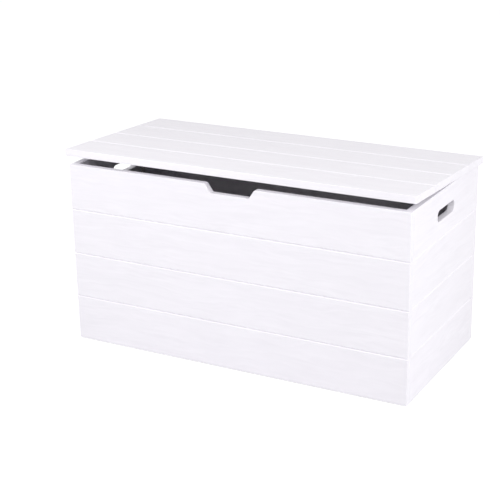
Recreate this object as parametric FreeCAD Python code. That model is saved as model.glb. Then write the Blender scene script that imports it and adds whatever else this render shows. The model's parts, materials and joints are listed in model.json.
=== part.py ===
import FreeCAD, Part
import math
import os

# A painted plank chest with a hinged lid. Lengths are in millimetres and angles in degrees.
# X runs along the front to the viewer's right, Y from front to back, Z up from the floor.
# The origin is on the floor, under the middle of the walls. The lid stands a little ajar.

# Walls
CHEST_WIDTH = 900.0
CHEST_DEPTH = 434.0
BOARD_THICKNESS = 18.0
WALL_BOARD_FACE = 115.0
WALL_BOARD_COUNT = 4

# Lid
LID_BOARD_COUNT = 4
LID_THICKNESS = 18.0
LID_SIDE_OVERHANG = 11.0
LID_SEAT_GAP = 0.3
LID_CORNER_RADIUS = 3.0
LID_AJAR_ANGLE = 2.6
LID_OPEN_ANGLE = 95.0

# The tongued and grooved joint between two boards, with a V on the show face
VEE_DEPTH = 2.5
TONGUE_THICKNESS = 6.0
TONGUE_LENGTH = 6.0
TONGUE_SIDE_CLEARANCE = 0.2
TONGUE_TIP_CLEARANCE = 0.6

# Eased edges
EDGE_RADIUS = 1.5
SEAM_RADIUS = 0.8

# Finger notch in the top edge of the front
NOTCH_TOP_WIDTH = 132.0
NOTCH_FOOT_WIDTH = 102.0
NOTCH_DEPTH = 22.0
NOTCH_TOP_RADIUS = 6.0
NOTCH_FOOT_RADIUS = 5.0

# Hand slot in the top board of each side
HAND_SLOT_LENGTH = 108.0
HAND_SLOT_HEIGHT = 27.0
HAND_SLOT_DROP = 59.0
HAND_SLOT_EDGE_RADIUS = 2.0

# Corner posts, inside the walls
POST_SIZE = 28.0
POST_TOP_DROP = 24.0
POST_EDGE_RADIUS = 4.0

# Floor panel and the cleats that carry it
CLEAT_WIDTH = 20.0
CLEAT_HEIGHT = 20.0
CLEAT_RAISE = 10.0
FLOOR_THICKNESS = 9.0
FLOOR_CLEARANCE = 1.0

# Glides under the posts
GLIDE_RADIUS = 11.0
GLIDE_THICKNESS = 2.5
GLIDE_EDGE_RADIUS = 0.8
GLIDE_NAIL_RADIUS = 1.25
GLIDE_NAIL_LENGTH = 14.0

# Battens under the lid
BATTEN_WIDTH = 44.0
BATTEN_THICKNESS = 18.0
BATTEN_SPACING_SHARE = 1 / 3
BATTEN_END_GAP = 18.0
BATTEN_TOE_THICKNESS = 6.0
BATTEN_TOE_LENGTH = 40.0
BATTEN_TOE_RADIUS = 2.0
BATTEN_SCREW_EDGE = 12.0

# Butt hinges
HINGE_LENGTH = 70.0
HINGE_OFFSET_SHARE = 0.317
LEAF_WIDTH = 15.0
LEAF_THICKNESS = 1.8
KNUCKLE_RADIUS = 4.0
KNUCKLE_COUNT = 5
KNUCKLE_GAP = 0.3
KNUCKLE_STANDOFF = 0.3
PIN_RADIUS = 2.0
PIN_CLEARANCE = 0.05
PIN_HEAD_RADIUS = 3.0
PIN_HEAD_LENGTH = 1.2
MORTISE_CLEARANCE = 0.2

# Curved lid stays. The arm hangs from a pivot under the lid and its slot runs on a stud in the side wall.
# The pivot and the stud stand equally far from the hinge line, and the slot is one arc of that radius.
STAY_PIVOT_DROP = 18.0
STAY_START_ANGLE = 9.0
STAY_WIDTH = 13.0
STAY_THICKNESS = 2.5
STAY_SIDE_GAP = 0.25
STUD_RADIUS = 3.0
STUD_SLOT_CLEARANCE = 0.3
STUD_SHOULDER_RADIUS = 5.5
STUD_SHOULDER_LENGTH = 2.0
STUD_THREAD_RADIUS = 2.5
STUD_THREAD_LENGTH = 5.0
STUD_PLATE_WIDTH = 20.0
STUD_PLATE_HEIGHT = 46.0
STUD_PLATE_THICKNESS = 2.0
STUD_PLATE_SETBACK = 13.0
STUD_PLATE_CORNER_RADIUS = 5.0
WASHER_RADIUS = 6.5
WASHER_THICKNESS = 1.2
THREAD_CLEARANCE = 0.05
NUT_RADIUS = 4.6
NUT_HEX_LENGTH = 3.4
NUT_DOME_RADIUS = 3.6
BRACKET_THICKNESS = 2.0
BRACKET_LENGTH = 42.0
BRACKET_WIDTH = 22.0
BRACKET_EAR_RADIUS = 7.0
BRACKET_CORNER_RADIUS = 4.0
RIVET_RADIUS = 2.5
RIVET_CLEARANCE = 0.05
RIVET_HEAD_RADIUS = 4.5
RIVET_HEAD_LENGTH = 1.2

# Countersunk screws
SCREW_CLEARANCE = 0.1
SCREW_TIP_CLEARANCE = 0.6
WOOD_SCREW_RADIUS = 2.0
FLOOR_SCREW_RADIUS = 1.75
HARDWARE_SCREW_RADIUS = 1.5
SCREW_HEAD_SHARE = 2.0
SCREW_BITE_SHARE = 2 / 3
RECESS_WIDTH_SHARE = 0.26
RECESS_LENGTH_SHARE = 1.1
RECESS_DEPTH_SHARE = 0.45
SCREW_TIP_SHARE = 1.6

# Where the screws stand, as shares of the piece that they hold
POST_SCREW_HEIGHT_SHARES = {"across": 0.36, "along": 0.62}
LONG_CLEAT_SCREW_SHARES = (0.08, 0.36, 0.64, 0.92)
LONG_FLOOR_SCREW_SHARES = (0.16, 0.5, 0.84)
SHORT_CLEAT_SCREW_SHARES = (0.18, 0.82)
SHORT_FLOOR_SCREW_SHARES = (0.5,)
BATTEN_SCREW_WIDTH_SHARE = 0.22
BATTEN_SCREW_FACE_SHARES = (0.2, 0.8)
HINGE_SCREW_SHARES = (-0.36, 0.0, 0.36)
STAY_PLATE_SCREW_SHARE = 0.33
BRACKET_SCREW_SHARE = 0.3

# How far a cut runs past the face that it opens
OVERRUN = 5.0

# Heights and planes that several pieces share
WALL_FOOT = GLIDE_THICKNESS
WALL_TOP = WALL_FOOT + WALL_BOARD_FACE * WALL_BOARD_COUNT
LID_UNDERSIDE = WALL_TOP + LID_SEAT_GAP
LID_TOP = LID_UNDERSIDE + LID_THICKNESS
LID_WIDTH = CHEST_WIDTH + 2 * LID_SIDE_OVERHANG
BATTEN_SPACING = CHEST_WIDTH * BATTEN_SPACING_SHARE
HINGE_OFFSET = CHEST_WIDTH * HINGE_OFFSET_SHARE
LID_BOARD_FACE = CHEST_DEPTH / LID_BOARD_COUNT
HALF_WIDTH = CHEST_WIDTH / 2
HALF_DEPTH = CHEST_DEPTH / 2
INNER_HALF_WIDTH = HALF_WIDTH - BOARD_THICKNESS
INNER_HALF_DEPTH = HALF_DEPTH - BOARD_THICKNESS
POST_TOP = WALL_TOP - POST_TOP_DROP
CLEAT_FOOT = WALL_FOOT + CLEAT_RAISE
CLEAT_TOP = CLEAT_FOOT + CLEAT_HEIGHT
FLOOR_TOP = CLEAT_TOP + FLOOR_THICKNESS

# The hinge line
HINGE_Y = HALF_DEPTH + KNUCKLE_RADIUS + KNUCKLE_STANDOFF
HINGE_Z = WALL_TOP + LID_SEAT_GAP / 2
HINGE_POINT = FreeCAD.Vector(0, HINGE_Y, HINGE_Z)

# The stay's stud stands behind the hand slot, and its pivot under the shut lid. Both lie on one circle round
# the hinge line, whose radius follows from how far in front of the line and how far below it they are.
STUD_Y = HAND_SLOT_LENGTH / 2 + STUD_PLATE_SETBACK + STUD_PLATE_WIDTH / 2
PIVOT_BELOW_HINGE = STAY_PIVOT_DROP - LID_SEAT_GAP / 2
START_TURN = math.radians(STAY_START_ANGLE)
PIVOT_BEFORE_HINGE = (HINGE_Y - STUD_Y + PIVOT_BELOW_HINGE * math.sin(START_TURN)) / math.cos(START_TURN)
STAY_RADIUS = math.hypot(PIVOT_BEFORE_HINGE, PIVOT_BELOW_HINGE)

# The stay's pivot and stud, as angles below the level of the hinge line
STAY_PIVOT_ANGLE = math.degrees(math.atan2(PIVOT_BELOW_HINGE, PIVOT_BEFORE_HINGE))
STUD_ANGLE = STAY_PIVOT_ANGLE + STAY_START_ANGLE

# Screws: each one passes through one piece and bites into a share of the next
WALL_SCREW = {"shank": WOOD_SCREW_RADIUS, "through": POST_SIZE, "into": BOARD_THICKNESS}
CLEAT_SCREW = {"shank": WOOD_SCREW_RADIUS, "through": CLEAT_WIDTH, "into": BOARD_THICKNESS}
FLOOR_SCREW = {"shank": FLOOR_SCREW_RADIUS, "through": FLOOR_THICKNESS, "into": CLEAT_HEIGHT}
BATTEN_SCREW = {"shank": WOOD_SCREW_RADIUS, "through": BATTEN_THICKNESS, "into": LID_THICKNESS}
HINGE_SCREW = {"shank": HARDWARE_SCREW_RADIUS, "through": LEAF_THICKNESS, "into": LID_THICKNESS}
PLATE_SCREW = {"shank": HARDWARE_SCREW_RADIUS, "through": STUD_PLATE_THICKNESS, "into": BOARD_THICKNESS}
BRACKET_SCREW = {"shank": HARDWARE_SCREW_RADIUS, "through": BRACKET_THICKNESS, "into": LID_THICKNESS}

X_AXIS = FreeCAD.Vector(1, 0, 0)
Y_AXIS = FreeCAD.Vector(0, 1, 0)
Z_AXIS = FreeCAD.Vector(0, 0, 1)
ORIGIN = FreeCAD.Vector(0, 0, 0)


# Helpers for outlines and solids


def point(x, y, z):
    return FreeCAD.Vector(x, y, z)


def block(low, high):
    """A box from its lowest corner to its highest."""
    size = high - low
    return Part.makeBox(size.x, size.y, size.z, low)


def rounded_face(corners, radii):
    """A flat face through corners, each turned with its own radius; a radius of 0 leaves it sharp."""
    turns = []
    for i, corner in enumerate(corners):
        to_before = (corners[i - 1] - corner).normalize()
        to_after = (corners[(i + 1) % len(corners)] - corner).normalize()
        half_turn = to_before.getAngle(to_after) / 2
        reach = radii[i] / math.tan(half_turn)
        turn = [corner + to_before * reach, corner + to_after * reach]
        if radii[i]:
            inward = (to_before + to_after).normalize()
            turn.insert(1, corner + inward * (radii[i] / math.sin(half_turn) - radii[i]))
        turns.append(turn)
    edges = []
    for i, turn in enumerate(turns):
        if len(turn) > 2:
            edges.append(Part.Arc(*turn).toShape())
        following = turns[(i + 1) % len(turns)]
        edges.append(Part.makeLine(turn[-1], following[0]))
    return Part.Face(Part.Wire(edges))


def turned(profile):
    """A solid of revolution about Z, from points that hold a radius and a height."""
    corners = [point(radius, 0, height) for radius, height in profile]
    return Part.Face(Part.makePolygon(corners + corners[:1])).revolve(ORIGIN, Z_AXIS, 360)


def aimed(shape, at, along):
    """Turns a shape that points up Z so that it points along a direction, and puts its foot at a point."""
    placed = shape.copy()
    placed.Placement = FreeCAD.Placement(at, FreeCAD.Rotation(Z_AXIS, along))
    return placed


def mirrored(shape):
    """The same piece on the other side of the chest."""
    return shape.mirror(ORIGIN, X_AXIS)


# Screws


def screw_length(kind):
    return kind["through"] + kind["into"] * SCREW_BITE_SHARE


def screw(kind, at, along):
    """A countersunk screw whose head lies flush at a point and whose tip points along a direction."""
    shank = kind["shank"]
    head = shank * SCREW_HEAD_SHARE
    length = screw_length(kind)
    profile = [
        (0, 0),
        (head, 0),
        (shank, head - shank),
        (shank, length - SCREW_TIP_SHARE * shank),
        (0, length),
    ]
    half_width = head * RECESS_WIDTH_SHARE / 2
    half_length = head * RECESS_LENGTH_SHARE / 2
    depth = head * RECESS_DEPTH_SHARE
    slots = [
        block(point(-half_length, -half_width, -depth), point(half_length, half_width, depth)),
        block(point(-half_width, -half_length, -depth), point(half_width, half_length, depth)),
    ]
    return aimed(turned(profile).cut(slots), at, along)


def screw_hole(kind, at, along):
    """The hole that a screw stands in, countersunk, with its clearance."""
    shank = kind["shank"] + SCREW_CLEARANCE
    head = kind["shank"] * SCREW_HEAD_SHARE + SCREW_CLEARANCE
    depth = screw_length(kind) + SCREW_TIP_CLEARANCE
    profile = [
        (0, -OVERRUN),
        (head, -OVERRUN),
        (head, 0),
        (shank, head - shank),
        (shank, depth),
        (0, depth),
    ]
    return aimed(turned(profile), at, along)


def screws(kind, places):
    return Part.makeCompound([screw(kind, at, along) for at, along in places])


def bored(shape, kind, places):
    """A piece with the holes of those screws that reach it."""
    holes = [screw_hole(kind, at, along) for at, along in places]
    reached = [hole for hole in holes if hole.BoundBox.intersect(shape.BoundBox)]
    return shape.cut(reached) if reached else shape


# Boards


def board_section(face, thickness, has_groove, has_tongue):
    """A board's section: its show face along Y = 0, its thickness along Y and its face width along Z."""
    tongue_start = (thickness + VEE_DEPTH - TONGUE_THICKNESS) / 2
    tongue_end = tongue_start + TONGUE_THICKNESS
    groove_start = tongue_start - TONGUE_SIDE_CLEARANCE
    groove_end = tongue_end + TONGUE_SIDE_CLEARANCE
    groove_depth = TONGUE_LENGTH + TONGUE_TIP_CLEARANCE
    tongue_tip = face + TONGUE_LENGTH
    grooved_foot = [
        (0, VEE_DEPTH),
        (VEE_DEPTH, 0),
        (groove_start, 0),
        (groove_start, groove_depth),
        (groove_end, groove_depth),
        (groove_end, 0),
        (thickness, 0),
    ]
    tongued_top = [
        (thickness, face),
        (tongue_end, face),
        (tongue_end, tongue_tip),
        (tongue_start, tongue_tip),
        (tongue_start, face),
        (VEE_DEPTH, face),
        (0, face - VEE_DEPTH),
    ]
    plain_foot = [(0, 0), (thickness, 0)]
    plain_top = [(thickness, face), (0, face)]
    foot = grooved_foot if has_groove else plain_foot
    top = tongued_top if has_tongue else plain_top
    radii = [0 if has_groove else EDGE_RADIUS] * len(foot)
    radii += [0 if has_tongue else EDGE_RADIUS] * len(top)
    return rounded_face([point(0, y, z) for y, z in foot + top], radii)


def board(length, face, thickness, index, count, show_radius, hidden_radius):
    """One of count boards, lengthways along X. The radii ease its ends, on the show face and behind it."""
    section = board_section(face, thickness, index > 0, index < count - 1)
    section.translate(point(-length / 2, 0, 0))
    bar = section.extrude(X_AXIS * length)
    plan = rounded_face(
        [
            point(-length / 2, 0, 0),
            point(length / 2, 0, 0),
            point(length / 2, thickness, 0),
            point(-length / 2, thickness, 0),
        ],
        [show_radius, show_radius, hidden_radius, hidden_radius],
    )
    return bar.common(plan.extrude(Z_AXIS * (face + TONGUE_LENGTH)))


def wall_board(length, index, show_radius, hidden_radius, turn, offset):
    """A wall board at its height, turned about Z so that its show face looks outwards."""
    shape = board(
        length, WALL_BOARD_FACE, BOARD_THICKNESS, index, WALL_BOARD_COUNT, show_radius, hidden_radius
    )
    shape.translate(point(0, -offset, WALL_FOOT + WALL_BOARD_FACE * index))
    shape.rotate(ORIGIN, Z_AXIS, turn)
    return shape


def front_board(index):
    return wall_board(CHEST_WIDTH, index, EDGE_RADIUS, SEAM_RADIUS, 0, HALF_DEPTH)


def right_board(index):
    return wall_board(2 * INNER_HALF_DEPTH, index, SEAM_RADIUS, 0, 90, HALF_WIDTH)


def finger_notch():
    """The cut for the fingers, wider at the top, with its mouth and its foot turned round."""
    half_top = NOTCH_TOP_WIDTH / 2
    half_foot = NOTCH_FOOT_WIDTH / 2
    half_mouth = half_top + 2 * NOTCH_TOP_RADIUS
    foot = WALL_TOP - NOTCH_DEPTH
    above = WALL_TOP + OVERRUN
    front = -HALF_DEPTH - OVERRUN
    left_half = [
        (-half_mouth, above, 0),
        (-half_mouth, WALL_TOP, 0),
        (-half_top, WALL_TOP, NOTCH_TOP_RADIUS),
        (-half_foot, foot, NOTCH_FOOT_RADIUS),
    ]
    right_half = [(-x, z, radius) for x, z, radius in reversed(left_half)]
    outline = left_half + right_half
    face = rounded_face([point(x, front, z) for x, z, _ in outline], [radius for _, _, radius in outline])
    return face.extrude(Y_AXIS * (BOARD_THICKNESS + 2 * OVERRUN))


def with_hand_slot(shape):
    """A right side board with the slot for a hand cut through it and its rims eased."""
    centre_z = WALL_TOP - HAND_SLOT_DROP
    half_length = HAND_SLOT_LENGTH / 2
    half_height = HAND_SLOT_HEIGHT / 2
    start = INNER_HALF_WIDTH - OVERRUN
    corners = [
        point(start, -half_length, centre_z - half_height),
        point(start, half_length, centre_z - half_height),
        point(start, half_length, centre_z + half_height),
        point(start, -half_length, centre_z + half_height),
    ]
    radius = half_height - HAND_SLOT_EDGE_RADIUS
    tool = rounded_face(corners, [radius] * len(corners))
    cut = shape.cut(tool.extrude(X_AXIS * (BOARD_THICKNESS + 2 * OVERRUN)))
    rims = [edge for edge in cut.Edges if is_slot_rim(edge, centre_z)]
    return cut.makeFillet(HAND_SLOT_EDGE_RADIUS, rims)


def is_slot_rim(edge, centre_z):
    """Whether an edge lies on one face of the side board, within the hand slot's outline."""
    box = edge.BoundBox
    flat = math.isclose(box.XMin, box.XMax, abs_tol=SEAM_RADIUS / 2)
    near = HAND_SLOT_HEIGHT / 2 + SEAM_RADIUS
    high_enough = box.ZMin > centre_z - near
    low_enough = box.ZMax < centre_z + near
    return flat and high_enough and low_enough and box.YMax - box.YMin <= HAND_SLOT_LENGTH


def lid_board(index):
    """A lid board with the lid shut, its show face up. The first one is at the front."""
    shape = board(
        LID_WIDTH, LID_BOARD_FACE, LID_THICKNESS, index, LID_BOARD_COUNT, EDGE_RADIUS, EDGE_RADIUS
    )
    shape.rotate(ORIGIN, X_AXIS, -90)
    shape.translate(point(0, LID_BOARD_FACE * index - HALF_DEPTH, LID_TOP))
    half = LID_WIDTH / 2
    corners = [
        point(-half, -HALF_DEPTH, LID_UNDERSIDE),
        point(half, -HALF_DEPTH, LID_UNDERSIDE),
        point(half, HALF_DEPTH, LID_UNDERSIDE),
        point(-half, HALF_DEPTH, LID_UNDERSIDE),
    ]
    plan = rounded_face(corners, [LID_CORNER_RADIUS] * len(corners))
    return shape.common(plan.extrude(Z_AXIS * LID_THICKNESS))


# Posts, cleats, floor and glides


def post_centre(side_x, side_y):
    x = side_x * (INNER_HALF_WIDTH - POST_SIZE / 2)
    y = side_y * (INNER_HALF_DEPTH - POST_SIZE / 2)
    return point(x, y, WALL_FOOT)


def corner_post(side_x, side_y):
    """A square post in one corner, with its edge towards the inside rounded."""
    centre = post_centre(side_x, side_y)
    outer = [centre.x + side_x * POST_SIZE / 2, centre.y + side_y * POST_SIZE / 2]
    inner = [centre.x - side_x * POST_SIZE / 2, centre.y - side_y * POST_SIZE / 2]
    corners = [
        point(outer[0], outer[1], WALL_FOOT),
        point(inner[0], outer[1], WALL_FOOT),
        point(inner[0], inner[1], WALL_FOOT),
        point(outer[0], inner[1], WALL_FOOT),
    ]
    face = rounded_face(corners, [0, 0, POST_EDGE_RADIUS, 0])
    post = face.extrude(Z_AXIS * (POST_TOP - WALL_FOOT))
    nail_hole = Part.makeCylinder(
        GLIDE_NAIL_RADIUS + SCREW_CLEARANCE,
        GLIDE_NAIL_LENGTH + SCREW_TIP_CLEARANCE + OVERRUN,
        centre - Z_AXIS * OVERRUN,
    )
    return post.cut(nail_hole)


def post_screw_places():
    """Two screws for each board end, one into the long wall and one into the short wall."""
    places = []
    for side_x in (-1, 1):
        for side_y in (-1, 1):
            centre = post_centre(side_x, side_y)
            for index in range(WALL_BOARD_COUNT):
                foot = WALL_FOOT + WALL_BOARD_FACE * index
                across = foot + WALL_BOARD_FACE * POST_SCREW_HEIGHT_SHARES["across"]
                along = foot + WALL_BOARD_FACE * POST_SCREW_HEIGHT_SHARES["along"]
                long_wall = point(centre.x, centre.y - side_y * POST_SIZE / 2, across)
                short_wall = point(centre.x - side_x * POST_SIZE / 2, centre.y, along)
                places.append((long_wall, Y_AXIS * side_y))
                places.append((short_wall, X_AXIS * side_x))
    return places


def long_cleat(side_y):
    """A cleat along the front or back wall, between the posts."""
    half = INNER_HALF_WIDTH - POST_SIZE
    near = side_y * INNER_HALF_DEPTH
    far = near - side_y * CLEAT_WIDTH
    return block(point(-half, min(near, far), CLEAT_FOOT), point(half, max(near, far), CLEAT_TOP))


def short_cleat(side_x):
    """A cleat along one side wall, between the posts."""
    half = INNER_HALF_DEPTH - POST_SIZE
    near = side_x * INNER_HALF_WIDTH
    far = near - side_x * CLEAT_WIDTH
    return block(point(min(near, far), -half, CLEAT_FOOT), point(max(near, far), half, CLEAT_TOP))


def spread(half, shares):
    """Places along a piece that reaches half each way, at shares of its length."""
    return [half * (2 * share - 1) for share in shares]


def cleat_screw_places():
    places = []
    height = (CLEAT_FOOT + CLEAT_TOP) / 2
    long_half = INNER_HALF_WIDTH - POST_SIZE
    short_half = INNER_HALF_DEPTH - POST_SIZE
    for side in (-1, 1):
        y = side * (INNER_HALF_DEPTH - CLEAT_WIDTH)
        x = side * (INNER_HALF_WIDTH - CLEAT_WIDTH)
        for along in spread(long_half, LONG_CLEAT_SCREW_SHARES):
            places.append((point(along, y, height), Y_AXIS * side))
        for along in spread(short_half, SHORT_CLEAT_SCREW_SHARES):
            places.append((point(x, along, height), X_AXIS * side))
    return places


def floor_screw_places():
    places = []
    down = Z_AXIS * -1
    long_half = INNER_HALF_WIDTH - POST_SIZE
    short_half = INNER_HALF_DEPTH - POST_SIZE
    for side in (-1, 1):
        y = side * (INNER_HALF_DEPTH - CLEAT_WIDTH / 2)
        x = side * (INNER_HALF_WIDTH - CLEAT_WIDTH / 2)
        for along in spread(long_half, LONG_FLOOR_SCREW_SHARES):
            places.append((point(along, y, FLOOR_TOP), down))
        for along in spread(short_half, SHORT_FLOOR_SCREW_SHARES):
            places.append((point(x, along, FLOOR_TOP), down))
    return places


def floor_panel():
    """The panel on the cleats, with its corners cut out round the posts."""
    half_x = INNER_HALF_WIDTH - FLOOR_CLEARANCE
    half_y = INNER_HALF_DEPTH - FLOOR_CLEARANCE
    panel = block(point(-half_x, -half_y, CLEAT_TOP), point(half_x, half_y, FLOOR_TOP))
    reach = POST_SIZE / 2 + FLOOR_CLEARANCE
    corners = []
    for side_x in (-1, 1):
        for side_y in (-1, 1):
            centre = post_centre(side_x, side_y)
            low = point(centre.x - reach, centre.y - reach, CLEAT_TOP - OVERRUN)
            high = point(centre.x + reach, centre.y + reach, FLOOR_TOP + OVERRUN)
            corners.append(block(low, high))
    return panel.cut(corners)


def glide(side_x, side_y):
    """A nailed glide under one post, with its rim eased."""
    profile = [
        (0, 0),
        (GLIDE_RADIUS - GLIDE_EDGE_RADIUS, 0),
        (GLIDE_RADIUS, GLIDE_EDGE_RADIUS),
        (GLIDE_RADIUS, GLIDE_THICKNESS),
        (GLIDE_NAIL_RADIUS, GLIDE_THICKNESS),
        (GLIDE_NAIL_RADIUS, GLIDE_THICKNESS + GLIDE_NAIL_LENGTH - GLIDE_NAIL_RADIUS),
        (0, GLIDE_THICKNESS + GLIDE_NAIL_LENGTH),
    ]
    centre = post_centre(side_x, side_y)
    return aimed(turned(profile), point(centre.x, centre.y, 0), Z_AXIS)


# Battens under the lid


def lid_batten(x):
    """A batten under the shut lid, with its ends bevelled off to a thin toe."""
    end = INNER_HALF_DEPTH - BATTEN_END_GAP
    flat = batten_flat_end()
    foot = LID_UNDERSIDE - BATTEN_THICKNESS
    toe = LID_UNDERSIDE - BATTEN_TOE_THICKNESS
    back_half = [(flat, foot, 0), (end, toe, BATTEN_TOE_RADIUS), (end, LID_UNDERSIDE, 0)]
    front_half = [(-y, z, radius) for y, z, radius in reversed(back_half)]
    outline = back_half + front_half
    left = x - BATTEN_WIDTH / 2
    face = rounded_face([point(left, y, z) for y, z, _ in outline], [radius for _, _, radius in outline])
    return face.extrude(X_AXIS * BATTEN_WIDTH)


def batten_flat_end():
    """How far from the middle of the lid a batten keeps its full thickness."""
    return INNER_HALF_DEPTH - BATTEN_END_GAP - BATTEN_TOE_LENGTH


def batten_screw_places():
    """Two screws through the full thickness of each batten into each lid board, set askew."""
    places = []
    foot = LID_UNDERSIDE - BATTEN_THICKNESS
    flat = batten_flat_end()
    for batten in (-1, 0, 1):
        for index in range(LID_BOARD_COUNT):
            seam = LID_BOARD_FACE * index - HALF_DEPTH
            start = max(seam + BATTEN_SCREW_EDGE, -flat)
            end = min(seam + LID_BOARD_FACE - BATTEN_SCREW_EDGE, flat)
            for side, share in zip((-1, 1), BATTEN_SCREW_FACE_SHARES):
                x = batten * BATTEN_SPACING + side * BATTEN_WIDTH * BATTEN_SCREW_WIDTH_SHARE
                places.append((point(x, start + (end - start) * share, foot), Z_AXIS))
    return places


# Hinges


def knuckle_span(x, index):
    """Where one knuckle of a hinge at x starts and ends."""
    pitch = HINGE_LENGTH / KNUCKLE_COUNT
    start = x - HINGE_LENGTH / 2 + pitch * index
    return start + KNUCKLE_GAP / 2, start + pitch - KNUCKLE_GAP / 2


def hinge_leaf(x, foot, own_knuckles):
    """A leaf let in at the height foot, with its own share of the knuckles round the pin."""
    front = HALF_DEPTH - LEAF_WIDTH
    top = foot + LEAF_THICKNESS
    half = HINGE_LENGTH / 2
    leaf = block(point(x - half, front, foot), point(x + half, HALF_DEPTH, top))
    for index in own_knuckles:
        start, end = knuckle_span(x, index)
        finger = block(point(start, front, foot), point(end, HINGE_Y, top))
        ring = Part.makeCylinder(KNUCKLE_RADIUS, end - start, point(start, HINGE_Y, HINGE_Z), X_AXIS)
        leaf = leaf.fuse([finger, ring])
    bore = Part.makeCylinder(
        PIN_RADIUS + PIN_CLEARANCE,
        HINGE_LENGTH + 2 * OVERRUN,
        point(x - half - OVERRUN, HINGE_Y, HINGE_Z),
        X_AXIS,
    )
    return leaf.cut(bore).removeSplitter()


def wall_leaf(x):
    return hinge_leaf(x, WALL_TOP - LEAF_THICKNESS, range(0, KNUCKLE_COUNT, 2))


def lid_leaf(x):
    return hinge_leaf(x, LID_UNDERSIDE, range(1, KNUCKLE_COUNT, 2))


def hinge_pin(x):
    """A pin with a small head at each end."""
    half = HINGE_LENGTH / 2
    profile = [
        (0, -half - PIN_HEAD_LENGTH),
        (PIN_HEAD_RADIUS - PIN_HEAD_LENGTH / 2, -half - PIN_HEAD_LENGTH),
        (PIN_HEAD_RADIUS, -half - PIN_HEAD_LENGTH / 2),
        (PIN_HEAD_RADIUS, -half),
        (PIN_RADIUS, -half),
    ]
    other_end = [(radius, -height) for radius, height in reversed(profile)]
    return aimed(turned(profile + other_end), point(x, HINGE_Y, HINGE_Z), X_AXIS)


def leaf_mortise(x, low, high):
    """The recess for a leaf, open towards the back."""
    half = HINGE_LENGTH / 2 + MORTISE_CLEARANCE
    front = HALF_DEPTH - LEAF_WIDTH - MORTISE_CLEARANCE
    return block(point(x - half, front, low), point(x + half, HALF_DEPTH + OVERRUN, high))


def wall_mortise(x):
    return leaf_mortise(x, WALL_TOP - LEAF_THICKNESS, WALL_TOP + OVERRUN)


def lid_mortise(x):
    return leaf_mortise(x, LID_UNDERSIDE - OVERRUN, LID_UNDERSIDE + LEAF_THICKNESS)


def hinge_screw_places(height, along):
    places = []
    for x in (-HINGE_OFFSET, HINGE_OFFSET):
        for share in HINGE_SCREW_SHARES:
            places.append((point(x + HINGE_LENGTH * share, HALF_DEPTH - LEAF_WIDTH / 2, height), along))
    return places


# Lid stays, on the right side of the chest; the left ones are mirrored


def below_hinge(angle):
    """A point on the stay's circle round the hinge line, at an angle below its level, towards the front."""
    turn = math.radians(angle)
    return point(0, HINGE_Y - STAY_RADIUS * math.cos(turn), HINGE_Z - STAY_RADIUS * math.sin(turn))


# Planes across the stay, from the wall inwards
PLATE_FACE_X = INNER_HALF_WIDTH - STUD_PLATE_THICKNESS
SHOULDER_FACE_X = PLATE_FACE_X - STUD_SHOULDER_LENGTH
ARM_OUTER_X = SHOULDER_FACE_X - STAY_SIDE_GAP
ARM_INNER_X = ARM_OUTER_X - STAY_THICKNESS
WASHER_OUTER_X = ARM_INNER_X - STAY_SIDE_GAP
WASHER_INNER_X = WASHER_OUTER_X - WASHER_THICKNESS
EAR_OUTER_X = ARM_INNER_X - STAY_SIDE_GAP
EAR_INNER_X = EAR_OUTER_X - BRACKET_THICKNESS

STUD_PLACE = below_hinge(STUD_ANGLE)
PIVOT_PLACE = below_hinge(STAY_PIVOT_ANGLE)


def arc_band(centre, low_angle, high_angle, half_width, x_from, x_to):
    """A curved bar with round ends, of the stay's radius. Angles rise from the level towards the back."""

    def place(angle, radius):
        turn = math.radians(angle)
        return centre + point(0, radius * math.cos(turn), radius * math.sin(turn))

    inner = STAY_RADIUS - half_width
    outer = STAY_RADIUS + half_width
    middle = (low_angle + high_angle) / 2
    cap_turn = math.degrees(half_width / STAY_RADIUS)
    low_cap = place(low_angle - cap_turn, STAY_RADIUS)
    high_cap = place(high_angle + cap_turn, STAY_RADIUS)
    arcs = [
        (place(low_angle, outer), place(middle, outer), place(high_angle, outer)),
        (place(high_angle, outer), high_cap, place(high_angle, inner)),
        (place(high_angle, inner), place(middle, inner), place(low_angle, inner)),
        (place(low_angle, inner), low_cap, place(low_angle, outer)),
    ]
    face = Part.Face(Part.Wire([Part.Arc(*arc).toShape() for arc in arcs]))
    face.translate(X_AXIS * x_from)
    return face.extrude(X_AXIS * (x_to - x_from))


def stay_arm():
    """The curved arm as it hangs with the lid shut, with its pivot hole and its slot."""
    centre = PIVOT_PLACE + STUD_PLACE - HINGE_POINT
    slot_end = STAY_PIVOT_ANGLE - LID_OPEN_ANGLE
    bar = arc_band(centre, slot_end, STUD_ANGLE, STAY_WIDTH / 2, ARM_INNER_X, ARM_OUTER_X)
    slot = arc_band(
        centre,
        slot_end,
        STAY_PIVOT_ANGLE,
        STUD_RADIUS + STUD_SLOT_CLEARANCE,
        ARM_INNER_X - OVERRUN,
        ARM_OUTER_X + OVERRUN,
    )
    hole = Part.makeCylinder(
        RIVET_RADIUS + RIVET_CLEARANCE,
        STAY_THICKNESS + 2 * OVERRUN,
        PIVOT_PLACE + X_AXIS * (ARM_INNER_X - OVERRUN),
        X_AXIS,
    )
    return bar.cut([slot, hole])


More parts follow.
